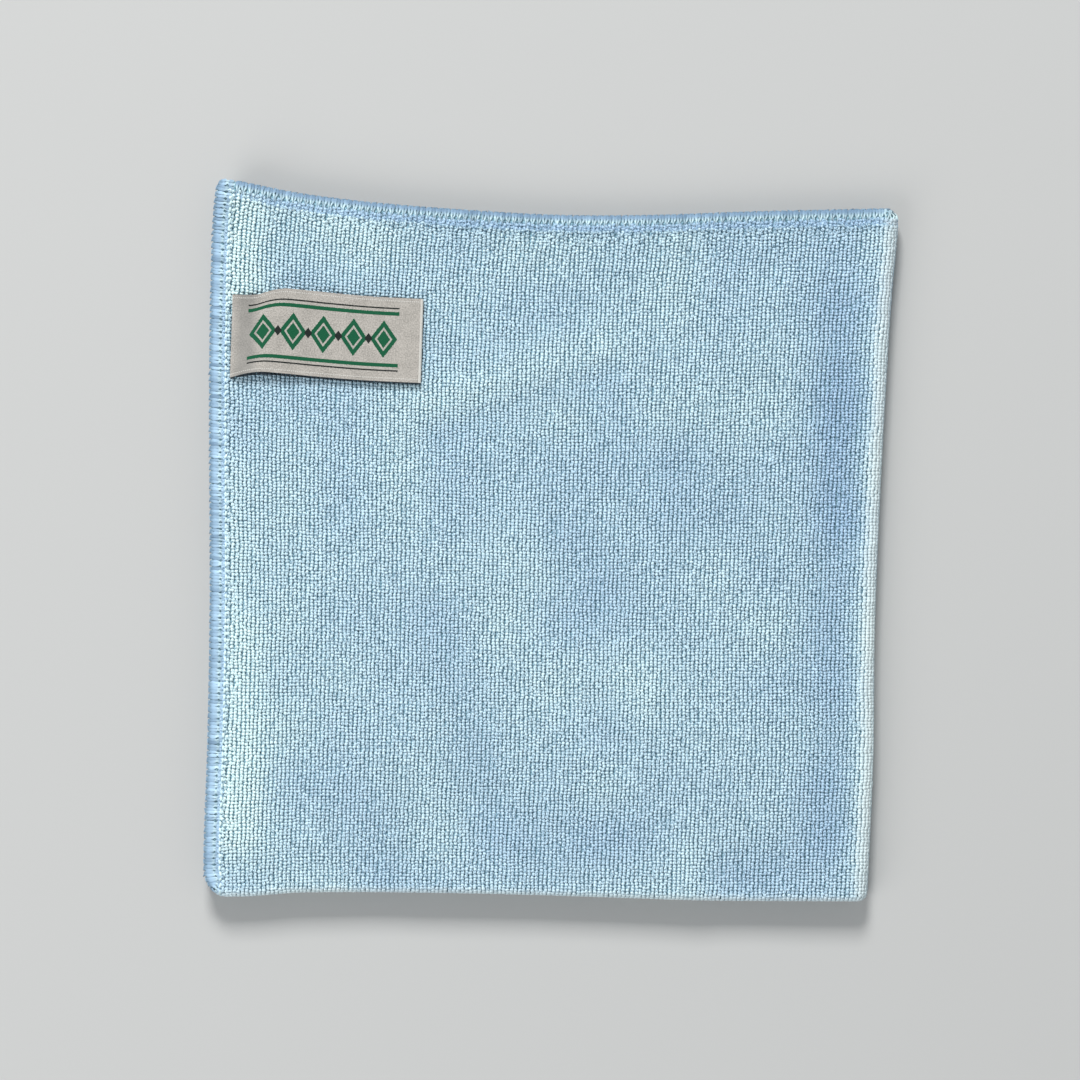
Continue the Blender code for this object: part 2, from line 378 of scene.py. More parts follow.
def smooth_noise(x, y, size, seed):
    """Soft random hills between -1 and 1, a hill or hollow about every size."""
    cells = 512
    values = np.random.default_rng(seed).uniform(-1.0, 1.0, (cells, cells))
    column, row = np.floor(x / size), np.floor(y / size)
    across, along = x / size - column, y / size - row
    across, along = smooth_step(across, 0.0, 1.0), smooth_step(along, 0.0, 1.0)
    column, row = column.astype(int) % cells, row.astype(int) % cells
    next_column, next_row = (column + 1) % cells, (row + 1) % cells
    low = blend(values[column, row], values[next_column, row], across)
    high = blend(values[column, next_row], values[next_column, next_row], across)
    return blend(low, high, along)


def waves(wave, x, y):
    """The height of a soft random wave at a place."""
    return smooth_noise(x, y, wave.size, wave.seed) * wave.height


class FoldedSheet:
    """The cut cloth, folded along its length and then along its width."""

    first_quarter = math.pi * FIRST_FOLD_RADIUS / 2
    second_quarter = math.pi * SECOND_FOLD_RADIUS / 2
    left = second_quarter - HALF_WIDTH
    right = SECOND_FOLD_RADIUS + FIRST_FOLD_RADIUS
    bottom = -FIRST_FOLD_RADIUS
    top = HALF_LENGTH - first_quarter
    stack = 2 * (FIRST_FOLD_RADIUS + SECOND_FOLD_RADIUS)

    def rounded(self, x, y):
        """Pull the corners of the square stack onto quarter discs."""
        for (side, end), radius in CORNER_RADIUS.items():
            side_sign = 1 if side == "left" else -1
            end_sign = 1 if end == "bottom" else -1
            from_side = (x - (self.left if side == "left" else self.right)) * side_sign
            from_end = (y - (self.bottom if end == "bottom" else self.top)) * end_sign
            inward_x, inward_y = radius - from_side, radius - from_end
            in_corner = (inward_x > 0) & (inward_y > 0)
            length = np.where(in_corner, np.hypot(inward_x, inward_y), 1.0)
            pull = np.where(in_corner, np.maximum(inward_x, inward_y) / length, 1.0)
            x = x - side_sign * inward_x * (pull - 1)
            y = y - end_sign * inward_y * (pull - 1)
        return x, y

    def outlined(self, x, y):
        """Move a point of the square stack to its place in the real, uneven outline."""
        across = (x - self.left) / (self.right - self.left)
        along = (y - self.bottom) / (self.top - self.bottom)
        left = curve_value(LEFT_HEM, along, "distance") * MM
        right = curve_value(RIGHT_FOLD, along, "distance") * MM - SHEET_THICKNESS / 2
        bottom = curve_value(BOTTOM_FOLD, across, "distance") * MM + SHEET_THICKNESS / 2
        top = curve_value(TOP_HEM, across, "distance") * MM
        return blend(left, right, across), blend(bottom, top, along), across, along

    def place(self, across, along, lift):
        """Places of points of the cloth, an array with a row of x, y, z for each."""
        across, along, lift = np.broadcast_arrays(across, along, lift)
        reach, offset = hairpin(along, lift, FIRST_FOLD_RADIUS)
        x, z = hairpin(-across, offset, SECOND_FOLD_RADIUS)
        x, y = self.rounded(x, -reach)
        x, y, share_x, share_y = self.outlined(x, y)
        free_corner = (1 - share_x) * share_y
        for (left_half, far_half), set_back in SET_BACK.items():
            layer = ((across < 0) == left_half) & ((along > 0) == far_half)
            x = x + np.where(layer, set_back.at_left_hem * MM * free_corner, 0.0)
            y = y - np.where(layer, set_back.at_top_hem * MM * free_corner, 0.0)
        z = z + self.stack / 2
        z = z + relief_height(x, y) * z / self.stack
        return np.stack([x, y, z + SHEET_THICKNESS / 2], axis=-1)

    def directions(self, across, along, lift):
        """Unit vectors across, along and out of the cloth at each point."""
        step = 0.02 * MM
        outward = unit(self.place(across, along, lift + step) - self.place(across, along, lift - step))
        sideways = self.place(across + step, along, lift) - self.place(across - step, along, lift)
        sideways -= outward * np.sum(sideways * outward, axis=-1, keepdims=True)
        sideways = unit(sideways)
        return sideways, np.cross(outward, sideways), outward


SHEET = FoldedSheet()


def fold_stretch(radius, middle_radius):
    """How much longer the face of a fold is than the same stretch of the flat cloth."""
    return (middle_radius + PILE_LIFT) / radius


def even_lines(half_size, pitch, quarter, stretch):
    """Lines a pitch apart across the whole cloth, as measured on its face, folds included."""
    open_count = round((half_size - quarter) / pitch)
    fold_count = round(2 * quarter * stretch / pitch)
    open_lines = quarter + (np.arange(open_count) + 0.5) * (half_size - quarter) / open_count
    fold_lines = -quarter + (np.arange(fold_count) + 0.5) * 2 * quarter / fold_count
    return np.concatenate([-open_lines[::-1], fold_lines, open_lines])


ACROSS_STRETCH = fold_stretch(SECOND_FOLD_RADIUS, SECOND_FOLD_RADIUS + FIRST_FOLD_RADIUS)
ALONG_STRETCH = fold_stretch(FIRST_FOLD_RADIUS, FIRST_FOLD_RADIUS)


# ---------------------------------------------------------------- meshes

def read(items, name, width=1, kind=np.float32):
    """A value of every item, or a row of them for each."""
    values = np.empty(len(items) * width, dtype=kind)
    items.foreach_get(name, values)
    return values if width == 1 else values.reshape(-1, width)


def write(items, name, values, kind=np.float32):
    items.foreach_set(name, np.ascontiguousarray(values, dtype=kind).ravel())


def mesh_object(name, vertices, triangles):
    """A new piece of triangles."""
    # Flat where the cloth lies on the table
    vertices[:, 2] = np.maximum(vertices[:, 2], 0.0)
    mesh = bpy.data.meshes.new(name)
    mesh.vertices.add(len(vertices))
    write(mesh.vertices, "co", vertices)
    mesh.loops.add(len(triangles) * 3)
    write(mesh.loops, "vertex_index", triangles, np.int32)
    mesh.polygons.add(len(triangles))
    write(mesh.polygons, "loop_start", np.arange(len(triangles)) * 3, np.int32)
    mesh.update(calc_edges=True)
    mesh.shade_smooth()
    piece = bpy.data.objects.new(name, mesh)
    bpy.context.scene.collection.objects.link(piece)
    return piece


def give_attribute(piece, name, values):
    write(piece.data.attributes.new(name, "FLOAT", "POINT").data, "value", values)


def give_map(piece, name, corner_places):
    write(piece.data.uv_layers.new(name=name, do_init=False).data, "uv", corner_places)


def corner_vertices(piece):
    return read(piece.data.loops, "vertex_index", kind=np.int32)


def map_cells(count, area):
    """Places of equal cells in an area of a map, one for each copy, and their size."""
    rows = math.ceil(count / area.columns)
    cell = np.array(area.size) / (area.columns, rows)
    index = np.arange(count)
    steps = np.stack([index % area.columns, index // area.columns], axis=-1)
    return (np.array(area.corner) + steps * cell)[:, None], cell * 0.9


def flat_sheet(name, columns, rows):
    """A new flat sheet of so many cells, and its points' places each way, from -1 to 1."""
    bpy.ops.mesh.primitive_grid_add(x_subdivisions=columns, y_subdivisions=rows, size=2.0)
    sheet = bpy.context.object
    sheet.name = sheet.data.name = name
    points = read(sheet.data.vertices, "co", 3)
    return sheet, points[:, 0], points[:, 1]


def lay_sheet(sheet, places, cut_places):
    """Move a sheet's points to their places. Its map Flat keeps their places in the cut piece."""
    write(sheet.data.vertices, "co", places)
    for layer in list(sheet.data.uv_layers):
        sheet.data.uv_layers.remove(layer)
    give_map(sheet, "Flat", np.stack(cut_places, axis=-1)[corner_vertices(sheet)])


def select_only(*pieces):
    """Select these pieces and nothing else. The first is the active one."""
    for other in bpy.context.view_layer.objects:
        other.select_set(other in pieces)
    if pieces:
        bpy.context.view_layer.objects.active = pieces[0]


def thicken(sheet, **settings):
    solidify = sheet.modifiers.new("thickness", "SOLIDIFY")
    for name, value in settings.items():
        setattr(solidify, name, value)
    select_only(sheet)
    bpy.ops.object.modifier_apply(modifier=solidify.name)


def loop_template():
    """One loop of yarn, modelled once: a bean on its side, flat above and below, its length along Y
    and its middle bent towards X."""
    select_only()
    bpy.ops.mesh.primitive_uv_sphere_add(segments=4, ring_count=3, radius=0.5, rotation=(math.pi / 2, 0, 0))
    bean = bpy.context.object
    bpy.ops.object.transform_apply(location=False, rotation=True, scale=False)
    bpy.ops.object.mode_set(mode="EDIT")
    bpy.ops.mesh.select_all(action="SELECT")
    bpy.ops.mesh.quads_convert_to_tris()
    bpy.ops.object.mode_set(mode="OBJECT")
    points = np.array([vertex.co for vertex in bean.data.vertices])
    triangles = np.array([face.vertices for face in bean.data.polygons])
    bpy.data.objects.remove(bean, do_unlink=True)
    # Turned so that two of the four long edges are the crown
    edge = points[np.argmax(np.hypot(points[:, 0], points[:, 2]))]
    turn = math.pi / 4 - math.atan2(edge[2], edge[0])
    x = points[:, 0] * math.cos(turn) - points[:, 2] * math.sin(turn)
    z = points[:, 0] * math.sin(turn) + points[:, 2] * math.cos(turn)
    points = np.stack([x, points[:, 1], z], axis=-1)
    points /= np.ptp(points, axis=0)
    points[:, 0] += np.where(np.abs(points[:, 1]) < 0.4, LOOP_BEND, -LOOP_BEND)
    points[:, 2] -= points[:, 2].min()
    # Upper faces last, because the last face wins where two share a place on the baked map
    a, b, c = (points[triangles[:, i]] for i in range(3))
    upward = np.cross(b - a, c - a)[:, 2]
    return points, triangles[np.argsort(upward, kind="stable")]


def joined_copies(name, template, origins, axes, tones, shade_below):
    """One mesh of many copies of a template. axes has three rows for each copy."""
    points, triangles = template
    vertices = origins[:, None, :] + np.einsum("pk,nkj->npj", points, axes)
    faces = triangles[None] + (np.arange(len(origins)) * len(points))[:, None, None]
    piece = mesh_object(name, vertices.reshape(-1, 3), faces.reshape(-1, 3))
    height = points[:, 2] / points[:, 2].max()
    give_attribute(piece, "tone", tones[:, None] * blend(shade_below, 1.0, height)[None])
    return piece


# ---------------------------------------------------------------- the pieces

def ground_lines(half_size, fold_quarter):
    hem_start = half_size - HEM_WIDTH
    lines = [fold_quarter * i / GROUND_FOLD_CELLS for i in range(GROUND_FOLD_CELLS)]
    lines += [blend(fold_quarter, hem_start, i / GROUND_OPEN_CELLS) for i in range(GROUND_OPEN_CELLS)]
    end = half_size - GROUND_INSET
    lines += [blend(hem_start, end, i / GROUND_HEM_CELLS) for i in range(GROUND_HEM_CELLS + 1)]
    return np.array([-line for line in reversed(lines[1:])] + lines)


def ground_lift(across, along):
    """The face of the ground lies below the pile, but reaches the floor where the cloth rests."""
    under = smooth_step(across, 3.0 * MM, 7.0 * MM) * smooth_step(along, 0.5 * MM, 2.5 * MM)
    under *= smooth_step(HALF_WIDTH - across, HEM_WIDTH, HEM_WIDTH + 1.5 * MM)
    under *= smooth_step(HALF_LENGTH - along, HEM_WIDTH, HEM_WIDTH + 1.5 * MM)
    return blend(GROUND_LIFT, SHEET_THICKNESS / 2, under)


def make_ground():
    """The knitted ground: one sheet, folded twice, closed all round."""
    across = ground_lines(HALF_WIDTH, SHEET.second_quarter)
    along = ground_lines(HALF_LENGTH, SHEET.first_quarter)
    ground, half_u, half_v = flat_sheet("ground", len(across) - 1, len(along) - 1)
    column = np.rint((half_u + 1) / 2 * (len(across) - 1)).astype(int)
    row = np.rint((half_v + 1) / 2 * (len(along) - 1)).astype(int)
    u, v = across[column], along[row]
    lay_sheet(ground, SHEET.place(u, v, ground_lift(u, v)), (u, v))
    for _ in range(3):
        ground.data.materials.append(None)
    thicken(
        ground,
        thickness=GROUND_THICKNESS,
        offset=-1.0,
        use_even_offset=True,
        material_offset=1,
        material_offset_rim=2,
    )
    spread_bake_map(ground)
    ground.data.materials.clear()
    ground.data.shade_smooth()
    return ground


def spread_bake_map(ground):
    """Lay the map that is baked: most of it for the face that rests on the floor, which has no
    pile pieces on it, and narrow margins for the faces that pile and layers cover."""
    mesh = ground.data
    flat = read(mesh.uv_layers["Flat"].data, "uv", 2)
    share = flat / np.array([CUT_WIDTH, CUT_LENGTH]) + 0.5
    slots = read(mesh.polygons, "material_index", kind=np.int32)
    counts = read(mesh.polygons, "loop_total", kind=np.int32)
    face = np.repeat(np.arange(len(mesh.polygons)), counts)
    centre = np.zeros((len(mesh.polygons), 2))
    np.add.at(centre, face, flat)
    centre /= counts[:, None]
    layout = np.empty_like(share)
    spots = {
        (True, True): ((0.01, 0.91), (0.27, 0.08)),
        (True, False): ((0.30, 0.91), (0.27, 0.08)),
        (False, False): ((0.59, 0.91), (0.27, 0.08)),
        (False, True): ((0.01, 0.01), (0.88, 0.88)),
    }
    for (left_half, far_half), (corner, size) in spots.items():
        chosen = (slots == 0) & ((centre[:, 0] < 0) == left_half) & ((centre[:, 1] > 0) == far_half)
        chosen = chosen[face]
        inside = share * 2 - np.array([0 if left_half else 1, 1 if far_half else 0])
        layout[chosen] = (np.array(corner) + inside * np.array(size))[chosen]
    inner = (slots == 1)[face]
    layout[inner] = (np.array((0.91, 0.01)) + share * np.array((0.08, 0.88)))[inner]
    rim = (slots == 2)[face]
    turn = (np.arange(len(face)) - np.concatenate([[0], np.cumsum(counts)[:-1]])[face])
    around = np.array([(0.92, 0.92), (0.98, 0.92), (0.98, 0.98), (0.92, 0.98)])[turn % 4]
    layout[rim] = around[rim]
    give_map(ground, "OFBake", layout)


def pile_zones(u, v):
    """The share of each zone of the pile at places in the flat cloth, from 0 to 1."""
    end_inset = HALF_LENGTH - np.abs(v)
    inset = np.minimum(HALF_WIDTH - np.abs(u), end_inset)
    right_fold = smooth_step(u, -SHEET.second_quarter - 1.5 * MM, -0.5 * SHEET.second_quarter)
    right_fold = np.where(u < SHEET.second_quarter, right_fold, 0.0)
    front_fold = smooth_step(-v, -SHEET.first_quarter - 0.5 * MM, 0.0)
    # Painted sheen: the folds are paler on their upper side
    under_right = smooth_step(u, -0.45 * SHEET.second_quarter, 0.1 * SHEET.second_quarter)
    under_front = smooth_step(-v, -0.3 * SHEET.first_quarter, 0.3 * SHEET.first_quarter)
    right_sheen = right_fold * (1 - 0.75 * under_right)
    front_sheen = front_fold * (1 - 0.6 * under_front)
    stitched = 1 - smooth_step(inset, HEM_WIDTH - 0.6 * MM, HEM_WIDTH + 0.3 * MM)
    near_end_hem = 1 - smooth_step(end_inset, HEM_WIDTH, HEM_WIDTH + END_HEM_SHADE_REACH)
    return {
        "folded": np.maximum(right_fold, front_fold),
        "folded_sheen": np.maximum(right_sheen, front_sheen),
        "stitched": stitched,
        "stitched_end": stitched * near_end_hem,
        "ruffled": 1 - smooth_step(inset, HEM_WIDTH, HEM_WIDTH + RUFFLE_REACH),
        "out_of_step": 1 - smooth_step(end_inset, HEM_WIDTH, HEM_WIDTH + SLIP_REACH),
        "near_end_hem": near_end_hem,
        "beside_end_hem": 1 - smooth_step(end_inset, *(HEM_WIDTH + FIRST_LOOPS_SHADE)),
    }


def stray(u, v, zones, calm, rng):
    """Put loops a little out of line, more beside the hems and less on the folds."""
    count = len(u)
    ruffled = zones["ruffled"]
    wale = np.rint(u / WALE_PITCH) * WALE_WIGGLE.size
    sway = waves(WALE_SWAY, u, v) + waves(WALE_WIGGLE, wale, v) + waves(WALE_CRINKLE, u, v)
    u = u + sway * (1 + 1.5 * ruffled) * calm + rng.normal(0.0, 0.02, count) * (1 + 4 * ruffled) * MM
    v = v + waves(COURSE_SWAY, u, v) + rng.normal(0.0, 0.04, count) * MM
    # Each wale slips along the others, most by the end hem
    v = v + waves(WALE_SLIP, wale, v / 4) * blend(0.20, 0.42, zones["out_of_step"]) * calm
    return u, v


def loop_frames(u, v, zones, calm, rng):
    """Places of the loops' feet, and the axes of each with its width, length and height."""
    count = len(u)
    zigzag = np.where(np.arange(count) % 2 == 0, 0.25, -0.25)
    turn = waves(LOOP_TURN, u, v) + zigzag + rng.normal(0.0, 0.10, count)
    turn = turn * (1 + 1.2 * zones["ruffled"]) * calm + math.pi * (waves(LOOP_HAND, u / 3, v) > 0)
    fallen = waves(LOOP_FALL, u, v) + rng.normal(0.0, 0.25, count) > 1.3
    turn = np.where(fallen, turn + math.pi / 2, turn)
    lift = LOOP_FOOT + rng.normal(0.0, 0.02, count) * MM * calm
    width = LOOP_WIDTH * (1 + rng.uniform(-0.03, 0.03, count) * calm)
    width *= 1 + 0.12 * zones["ruffled"] + 0.18 * zones["folded"]
    length = LOOP_LENGTH * rng.uniform(0.92, 1.08, count) * (1 + 0.4 * zones["folded"])
    height = LOOP_HEIGHT * rng.uniform(0.97, 1.03, count) * (1 - 0.2 * zones["stitched"])
    sideways, lengthways, outward = SHEET.directions(u, v, lift)
    local_x = np.cos(turn)[:, None] * sideways + np.sin(turn)[:, None] * lengthways
    local_y = -np.sin(turn)[:, None] * sideways + np.cos(turn)[:, None] * lengthways
    lean = (rng.normal(0.0, 0.06, count) * calm)[:, None]
    roll = (rng.normal(0.0, 0.06, count) * calm)[:, None]
    axes = np.stack(
        [
            (local_x + outward * roll) * width[:, None],
            (local_y + outward * lean) * length[:, None],
            (outward - local_x * roll - local_y * lean) * height[:, None],
        ],
        axis=1,
    )
    return SHEET.place(u, v, lift), axes


def pile_shades(u, v, feet, zones, rng):
    """Brightness and blueness of each loop."""
    deep_shade = blend(0.4, 1.0, smooth_step(u, *WEAK_SHADE_ENDS)) * (1 - zones["stitched"])
    corner_u = (u - SHADED_CORNER[0]) / SHADED_CORNER_REACH[0]
    corner_v = (v - SHADED_CORNER[1]) / SHADED_CORNER_REACH[1]
    # Painted shade in the needle holes: darker loops between the stitches beside the needle line
    beside_needle = np.abs(HALF_WIDTH - np.abs(u) - HOLE_INSET) < 0.5 * WALE_PITCH
    between_stitches = np.cos(v * 2 * math.pi / STITCH_PITCH) > 0.1
    zones = {
        **zones,
        "beside_end_hem": zones["beside_end_hem"] * deep_shade,
        "corner_shade": np.exp(-(corner_u**2) - corner_v**2),
        "needle_hole_shade": beside_needle & between_stitches,
        # Painted light and shade from the relief: lighter on ridges, darker and bluer in troughs
        "relief": relief_height(feet[:, 0], feet[:, 1]) / MM,
    }
    tone = PILE_TONE + rng.normal(0.0, 0.01, len(u))
    cool = PILE_BLUE + waves(BLUE_SHADE_PATCHES, u, v)
    for shade in PILE_SHADES:
        tone = tone + shade.tone * zones[shade.zone]
        cool = cool + shade.cool * zones[shade.zone]
    return np.clip(tone, 0.2, 1.1), np.clip(cool, 0.0, 1.0)


def label_course(share, side):
    """Sway and rise of the label's middle (side 0) or of one of its long edges (side -1 or 1)."""
    course = share - LABEL_EDGE_LEAD * side * (1 - share)
    return curve_value(LABEL_COURSE, course, "sway") * MM, curve_value(LABEL_COURSE, course, "rise") * MM


def away_from_label(x, y):
    """How far the nearest edge of the label is, as a multiple of the depth of its shade there."""
    reach = np.stack([x - LABEL_ROOT.x, y - LABEL_ROOT.y], axis=-1)
    share = (reach @ LABEL_DIRECTION) / LABEL_LENGTH
    sideways = reach @ np.array([-LABEL_DIRECTION[1], LABEL_DIRECTION[0]])
    past_fold = np.abs(share - 1) * LABEL_LENGTH / LABEL_FOLD_SHADE
    away = [np.where(np.abs(sideways) > LABEL_WIDTH / 2, SHADE_LIMIT, past_fold)]
    for shade in LABEL_EDGE_SHADES:
        sway, rise = label_course(share, shade.side)
        past_edge = shade.side * (sideways - sway) - LABEL_WIDTH / 2
        depth = shade.depth * MM + shade.deepening * rise
        away.append(np.where((share > 0) & (share < 1), np.abs(past_edge) / depth, SHADE_LIMIT))
    return np.minimum(np.min(away, axis=0), SHADE_LIMIT)


def make_pile(name, template, across_lines, along_lines, rng):
    """The loops on the crossings of the lines, as one mesh."""
    u, v = (grid.ravel() for grid in np.meshgrid(across_lines, along_lines, indexing="ij"))
    zones = pile_zones(u, v)
    calm = 1 - 0.5 * zones["folded"]
    u, v = stray(u, v, zones, calm, rng)
    feet, axes = loop_frames(u, v, zones, calm, rng)
    tones, cools = pile_shades(u, v, feet, zones, rng)
    pile = joined_copies(name, template, feet, axes, tones, LOOP_FOOT_SHADE)
    points = template[0]
    give_attribute(pile, "cool", np.repeat(cools, len(points)))
    # The attribute pale carries the painted sheen on the folds
    give_attribute(pile, "pale", np.repeat(zones["folded_sheen"], len(points)))
    places = read(pile.data.vertices, "co", 3)
    give_attribute(pile, "from_label", away_from_label(places[:, 0], places[:, 1]))
    corners = corner_vertices(pile)
    flat_u = (u[:, None] + points[None, :, 0] * WALE_PITCH * 0.7).ravel()
    flat_v = (v[:, None] + points[None, :, 1] * COURSE_PITCH).ravel()
    shares = [(flat - flat.min()) / np.ptp(flat) * 0.98 + 0.01 for flat in (flat_u, flat_v)]
    give_map(pile, "OFBake", np.stack(shares, axis=-1)[corners])
    return pile


def between(lines, low, high):
    return lines[(lines > low) & (lines < high)]


def make_piles(template):
    """The pile where it shows: the top, the right fold and the front folds."""
    rng = np.random.default_rng(PILE_SEED)
    across = even_lines(HALF_WIDTH, WALE_PITCH, SHEET.second_quarter, ACROSS_STRETCH)
    along = even_lines(HALF_LENGTH, COURSE_PITCH, SHEET.first_quarter, ALONG_STRETCH)
    top_rows = between(along, -0.75 * SHEET.first_quarter, HALF_LENGTH - PILE_END_INSET)
    fold_start = -SHEET.second_quarter
    ends = np.linspace(PILE_INSET - HALF_WIDTH, fold_start, PILE_STRIPS + 1)
    pieces = []
    for number, (low, high) in enumerate(zip(ends[:-1], ends[1:]), start=1):
        columns = between(across, low, high)
        pieces.append(make_pile(f"pile_top_{number}", template, columns, top_rows, rng))
    wrap_columns = between(across, fold_start, 0.8 * SHEET.second_quarter)
    pieces.append(make_pile("pile_right_fold", template, wrap_columns, top_rows, rng))
    under_columns = between(across, 0.8 * SHEET.second_quarter, HALF_WIDTH - PILE_INSET)
    roll_rows = between(along, -SHEET.first_quarter, 0.7 * SHEET.first_quarter)
    pieces.append(make_pile("pile_front_fold", template, under_columns, roll_rows, rng))
    return pieces


def edge_place(edge, distance, inset):
    """A place in the flat cloth, at a distance along one of its edges and inset from it."""
    if edge in SIDE_EDGES:
        return (HALF_WIDTH - inset) * (1 if edge == "right" else -1), distance
    return distance, (HALF_LENGTH - inset) * (1 if edge == "top" else -1)


def tube_faces(stations, sides):
    """Triangles of a closed tube, and the places of their corners on its own small map."""
    faces = []
    spots = []
    for station in range(stations - 1):
        for side in range(sides):
            next_side = (side + 1) % sides
            a, b = station * sides + side, station * sides + next_side
            c, d = a + sides, b + sides
            faces += [(a, b, d), (a, d, c)]
            low_a, low_b = (side, station + 1), (side + 1, station + 1)
            high_c, high_d = (side, station + 2), (side + 1, station + 2)
            spots += [low_a, low_b, high_d, low_a, high_d, high_c]
    caps = ((0, 0, (0, 2, 1, 0, 3, 2)), (stations - 1, stations, (0, 1, 2, 0, 2, 3)))
    for station, row, turns in caps:
        cap = [station * sides + turn for turn in turns]
        faces += [tuple(cap[:3]), tuple(cap[3:])]
        square = ((0, row), (sides, row), (sides, row + 0.9), (0, row + 0.9))
        spots += [square[turn] for turn in turns]
    return np.array(faces), np.array(spots) / (sides, stations + 1)


def make_strands(name, stitches, edge, rng):
    """The looper strands of one edge: two for each stitch, wrapped over the cut edge."""
    rows = SIDE_STRANDS if edge in SIDE_EDGES else END_STRANDS
    inset, lift, core, spread, width = np.array(rows)[:, :5].T * MM
    shade, blue = np.array(rows)[:, 5:].T
    sides = 4
    stations = len(rows)
    count = len(stitches) * 2
    hand = np.tile([-1.0, 1.0], len(stitches))
    centre = np.repeat(stitches, 2)
    slip = rng.normal(0.0, 0.06, (count, stations)) * MM
    slip += np.repeat(rng.normal(0.0, 0.07, (count // 2, 1)), 2, axis=0) * MM
    puff = 1 + rng.normal(0.0, 0.10, count)
    fullness = rng.uniform(0.9, 1.12, count)[:, None]
    distance = centre[:, None] + hand[:, None] * spread[None] + slip
    inset = inset[None] + rng.normal(0.0, 0.14, (count, stations)) * MM * (inset > 1.5 * MM)
    lift = lift[None] * puff[:, None]
    middle = SHEET.place(*edge_place(edge, distance, inset), lift)
    heart = SHEET.place(*edge_place(edge, distance, np.broadcast_to(core, inset.shape)), 0.0 * lift)
    outward = unit(middle - heart)
    sideways = unit(np.cross(np.gradient(middle, axis=1), outward))
    angles = np.arange(sides) * 2 * math.pi / sides
    half_width = width[None] / 2 * fullness
    # The wider a strand spreads, the flatter it lies
    half_height = THREAD_SIZE[1] / 2 * (THREAD_SIZE[0] / width[None]) * fullness
    ring = (
        middle[:, :, None]
        + sideways[:, :, None] * (half_width[:, :, None] * np.cos(angles))[..., None]
        + outward[:, :, None] * (half_height[:, :, None] * np.sin(angles))[..., None]
    )
    faces, spots = tube_faces(stations, sides)
    triangles = faces[None] + (np.arange(count) * stations * sides)[:, None, None]
    piece = mesh_object(name, ring.reshape(-1, 3), triangles.reshape(-1, 3))
    cells, cell = map_cells(count, STRAND_AREA)
    give_map(piece, "OFBake", cells + spots * cell)
    # Painted sheen: paler and less blue where the right fold crosses the hem
    fold_sheen = np.zeros(count)
    if edge in END_EDGES:
        fold_end = SHEET.second_quarter + 2.0 * MM
        fold_sheen = 1 - smooth_step(np.abs(centre), 0.5 * SHEET.second_quarter, fold_end)
    fold_sheen = fold_sheen[:, None, None]
    own_tone = np.clip(0.92 + rng.normal(0.0, 0.18, count), 0.45, 1.3)[:, None, None]
    tone = blend(own_tone * shade[None, :, None], 0.9, 0.7 * fold_sheen)
    # Painted shade: each strand darker on its underside than on its crown
    crown = 0.82 + 0.18 * (np.sin(angles) + 1) / 2
    give_attribute(piece, "tone", np.broadcast_to(tone * crown, ring.shape[:3]))
    give_attribute(piece, "blue", np.broadcast_to(blue[None, :, None] * (1 - 0.8 * fold_sheen), ring.shape[:3]))
    return piece


def make_chain(name, template, stitches, edge, chain, rng):
    """A straight chain of stitches along an edge of the cloth."""
    count = len(stitches)
    u, v = edge_place(edge, stitches, np.full(count, chain.inset))
    lift = np.full(count, chain.lift)
    sideways, lengthways, outward = SHEET.directions(u, v, lift)
    along, inward = (lengthways, sideways) if edge in SIDE_EDGES else (sideways, -lengthways)
    skew = rng.normal(0.0, 0.12, count)[:, None]
    stitch = (along + inward * skew) * STITCH_PITCH * 1.02
    axes = np.stack([inward * chain.width, stitch, outward * chain.height], axis=1)
    tones = chain.tone + rng.normal(0.0, 0.06, count)
    feet = SHEET.place(u, v, lift)
    piece = joined_copies(name, template, feet, axes, tones, STITCH_FOOT_SHADE)
    give_attribute(piece, "blue", np.full(len(piece.data.vertices), chain.blue))
    points, triangles = template
    spots = (points[:, :2] - points[:, :2].min(axis=0)) / np.ptp(points[:, :2], axis=0)
    cells, cell = map_cells(count, chain.area)
    give_map(piece, "OFBake", cells + spots[triangles.ravel()] * cell)
    return piece


def join_pieces(name, pieces):
    select_only(*pieces)
    bpy.ops.object.join()
    pieces[0].name = pieces[0].data.name = name
    return pieces[0]


def make_overlock(template):
    """The stitching of the four cut edges, one piece for each. The left and right edges have the
    corners, and the needle lines meet there."""
    rng = np.random.default_rng(STITCH_SEED)
    pieces = []
    for edge in (*SIDE_EDGES, *END_EDGES):
        if edge in SIDE_EDGES:
            lines = even_lines(HALF_LENGTH, STITCH_PITCH, SHEET.first_quarter, ALONG_STRETCH)
            needle_line = SIDE_NEEDLE
        else:
            lines = even_lines(HALF_WIDTH, STITCH_PITCH, SHEET.second_quarter, ACROSS_STRETCH)
            lines = between(lines, NEEDLE_INSET - HALF_WIDTH, HALF_WIDTH - NEEDLE_INSET)
            needle_line = END_NEEDLE
        inner = between(lines, NEEDLE_INSET - HALF_LENGTH, HALF_LENGTH - NEEDLE_INSET)
        strands = make_strands(f"strands_{edge}", lines, edge, rng)
        needle = make_chain(f"needle_{edge}", template, inner, edge, needle_line, rng)
        knots = make_chain(f"knots_{edge}", template, lines, edge, KNOTS, rng)
        pieces.append(join_pieces(f"overlock_{edge}", [strands, needle, knots]))
        bpy.ops.object.shade_smooth_by_angle(angle=math.radians(75))
    return pieces


def top_of_cloth(x, y):
    return SHEET.stack + SHEET_THICKNESS + relief_height(x, y)


